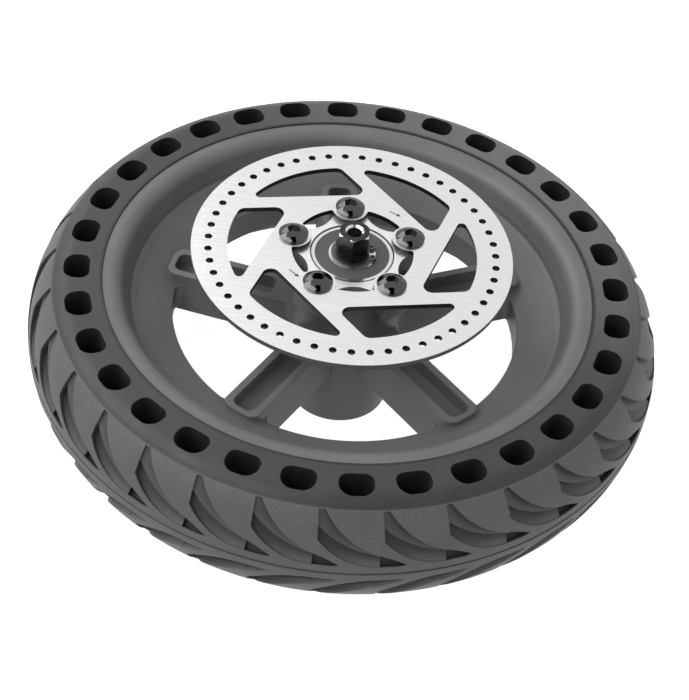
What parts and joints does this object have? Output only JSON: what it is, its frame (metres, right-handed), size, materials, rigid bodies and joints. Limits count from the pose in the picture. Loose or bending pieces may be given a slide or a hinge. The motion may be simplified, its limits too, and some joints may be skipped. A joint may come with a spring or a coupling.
{
  "type": "scooter wheel",
  "caption": "Rear wheel of a kick scooter: airless honeycomb tyre on a cast spoked rim, slotted brake disc on the hub, turning on sealed ball bearings round a hex-ended axle.",
  "frame": {"origin": "centre of the wheel: on the axle's axis, in the middle plane of the tyre", "axes": "+Z along the axle towards the brake disc; +X and +Y in the plane of the wheel, +X to the right in the picture"},
  "size_m": [0.2208, 0.2208, 0.0855],
  "materials": {
    "tyre_rubber": "matt moulded rubber",
    "cast_aluminium": "mid-grey powder coat, bright where the hub face is turned",
    "disc_steel": "brushed stainless",
    "screw_black": "black chromed",
    "axle_steel": "blackened",
    "spacer_aluminium": "turned",
    "clip_steel": "spring steel",
    "bearing_steel": "ground",
    "cage_nylon": "moulded",
    "seal_rubber": "moulded"
  },
  "bodies": {
    "axle": {"axle": "axle_steel", "bearing_spacer": "spacer_aluminium", "disc_side_circlip": "clip_steel", "far_side_circlip": "clip_steel", "disc_side_inner_ring": "bearing_steel", "far_side_inner_ring": "bearing_steel"},
    "wheel": {"tyre": "tyre_rubber", "wheel_casting": "cast_aluminium", "brake_disc": "disc_steel", "disc_screw_1": "screw_black", "disc_screw_2": "screw_black", "disc_screw_3": "screw_black", "disc_screw_4": "screw_black", "disc_screw_5": "screw_black", "disc_side_outer_ring": "bearing_steel", "disc_side_outer_seal": "seal_rubber", "disc_side_inner_seal": "seal_rubber", "far_side_outer_ring": "bearing_steel", "far_side_outer_seal": "seal_rubber", "far_side_inner_seal": "seal_rubber"},
    "disc_side_ball_set": {"disc_side_balls": "bearing_steel", "disc_side_cage": "cage_nylon"},
    "far_side_ball_set": {"far_side_balls": "bearing_steel", "far_side_cage": "cage_nylon"}
  },
  "joints": [
    {"name": "wheel_spin", "type": "hinge", "parent": "axle", "child": "wheel", "pos_m": [0, 0, 0], "axis": [0, 0, 1], "continuous": true},
    {"name": "disc_side_ball_spin", "type": "hinge", "parent": "axle", "child": "disc_side_ball_set", "pos_m": [0, 0, 0], "axis": [0, 0, 1], "continuous": true},
    {"name": "far_side_ball_spin", "type": "hinge", "parent": "axle", "child": "far_side_ball_set", "pos_m": [0, 0, 0], "axis": [0, 0, 1], "continuous": true}
  ],
  "couplings": [
    {"joint": "disc_side_ball_spin", "follows": "wheel_spin", "ratio": 0.619},
    {"joint": "far_side_ball_spin", "follows": "wheel_spin", "ratio": 0.619}
  ]
}
